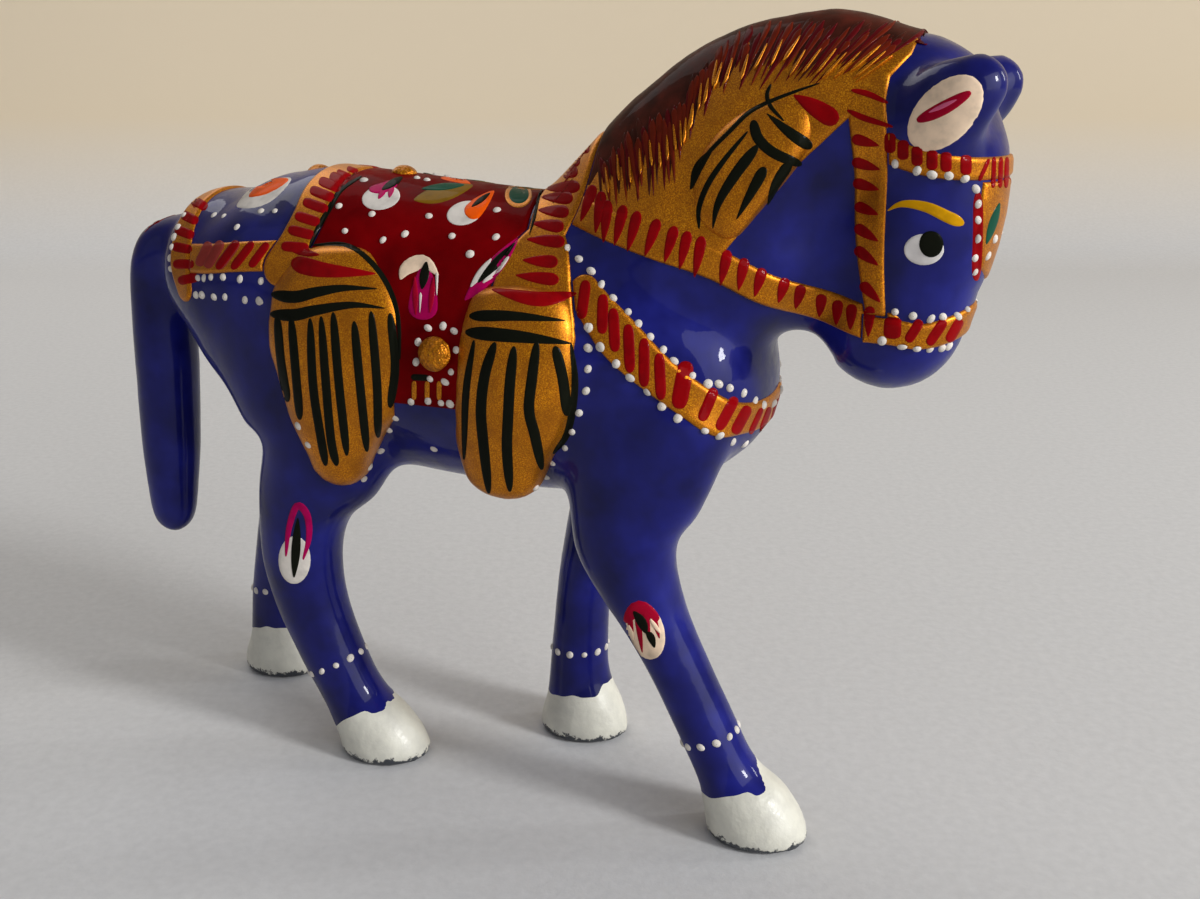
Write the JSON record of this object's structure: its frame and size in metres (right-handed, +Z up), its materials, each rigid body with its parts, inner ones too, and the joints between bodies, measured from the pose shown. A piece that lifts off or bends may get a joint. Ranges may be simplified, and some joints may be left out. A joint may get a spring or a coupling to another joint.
{
  "type": "meenakari horse figurine",
  "caption": "Small enamelled metal horse in a walking stance with raised saddle, harness straps and tassels, a free-standing shelf ornament resting on its hooves.",
  "frame": {"origin": "on the ground under the middle of the figure's bounding box", "axes": "+X towards the nose, +Y to the horse's left, +Z up"},
  "size_m": [0.0956, 0.0302, 0.0784],
  "materials": {
    "blue_enamel": "deep ultramarine enamel under clear gloss lacquer",
    "gold_paint": "granular metallic gold paint under clear gloss lacquer",
    "red_enamel": "dark red enamel under clear gloss lacquer",
    "mane_paint": "maroon brush strokes over gold paint, lacquered",
    "white_enamel": "white enamel, chipped at the soles"
  },
  "bodies": {
    "root": {"breast_collar": "gold_paint", "browband": "gold_paint", "fore_ridge_boss": "gold_paint", "forehead_plate": "gold_paint", "left_body_half": "blue_enamel", "left_cheek_strap": "gold_paint", "left_crupper_strap": "gold_paint", "left_ear": "blue_enamel", "left_eye": "white_enamel", "left_flank_tassel": "gold_paint", "left_fore_hoof": "white_enamel", "left_foreleg": "blue_enamel", "left_hind_hoof": "white_enamel", "left_hindleg": "blue_enamel", "left_neck_tassel": "gold_paint", "left_rein": "gold_paint", "left_saddle_boss": "gold_paint", "left_shoulder_tassel": "gold_paint", "mane": "mane_paint", "noseband": "gold_paint", "rear_ridge_boss": "gold_paint", "right_body_half": "blue_enamel", "right_cheek_strap": "gold_paint", "right_crupper_strap": "gold_paint", "right_ear": "blue_enamel", "right_eye": "white_enamel", "right_flank_tassel": "gold_paint", "right_fore_hoof": "white_enamel", "right_foreleg": "blue_enamel", "right_hind_hoof": "white_enamel", "right_hindleg": "blue_enamel", "right_neck_tassel": "gold_paint", "right_rein": "gold_paint", "right_saddle_boss": "gold_paint", "right_shoulder_tassel": "gold_paint", "saddle_cloth": "red_enamel", "saddle_collar": "gold_paint", "saddle_rear_band": "gold_paint", "tail": "blue_enamel", "tail_ring": "gold_paint"}
  },
  "joints": []
}
